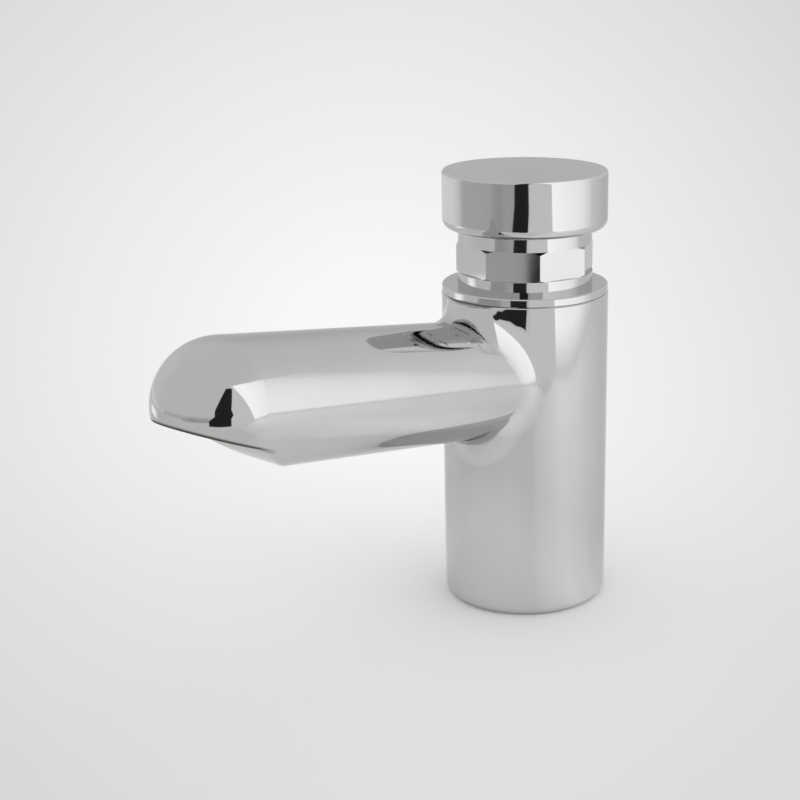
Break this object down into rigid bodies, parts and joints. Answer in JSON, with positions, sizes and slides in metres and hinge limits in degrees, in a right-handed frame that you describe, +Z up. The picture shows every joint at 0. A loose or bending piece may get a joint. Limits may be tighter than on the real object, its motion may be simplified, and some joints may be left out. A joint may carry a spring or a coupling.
{
  "type": "push timed tap",
  "caption": "Round pillar tap with a rising round spout open under its nose, and a push button over an octagon bonnet that opens a slow-closing valve.",
  "frame": {"origin": "centre of the round base, on the axis of the column, at the level of the surface that it stands on", "axes": "+Z up along the column; the spout points to -Y, towards the user; +X is to the right of somebody who looks along +Y"},
  "size_m": [0.048, 0.1533, 0.127],
  "materials": {
    "polished_chrome": "polished chrome plate on brass",
    "plain_brass": "turned",
    "stainless_steel": "drawn and turned",
    "white_acetal": "moulded",
    "black_rubber": "moulded nitrile"
  },
  "bodies": {
    "casing": {"body_casting": "polished_chrome", "trim_ring": "polished_chrome", "bonnet": "polished_chrome", "base_seal_ring": "black_rubber", "inlet_filter_mesh": "stainless_steel", "inlet_filter_washer": "black_rubber", "valve_seat": "plain_brass", "valve_seat_o_ring": "black_rubber", "cartridge_sleeve": "white_acetal", "sleeve_gasket": "black_rubber", "cartridge_gland": "white_acetal", "gland_o_ring": "black_rubber", "lower_stem_o_ring": "black_rubber", "spring_seat_washer": "stainless_steel", "return_spring": "stainless_steel", "stem_guide_bush": "plain_brass", "stem_wiper_o_ring": "black_rubber", "bonnet_o_ring": "black_rubber"},
    "plunger": {"push_button": "polished_chrome", "button_lock_nut": "plain_brass", "plunger_stem": "stainless_steel", "piston": "white_acetal", "piston_lip_seal": "black_rubber", "piston_circlip": "stainless_steel", "timing_needle": "stainless_steel", "valve_washer": "black_rubber", "valve_washer_cup": "plain_brass", "valve_nut": "plain_brass"}
  },
  "joints": [
    {"name": "button_press", "type": "slide", "parent": "casing", "child": "plunger", "axis": [0, 0, -1], "range_m": [0, 0.008], "stiffness_N_per_m": 1200, "springref_m": -0.006, "deforming": ["return_spring"]}
  ]
}
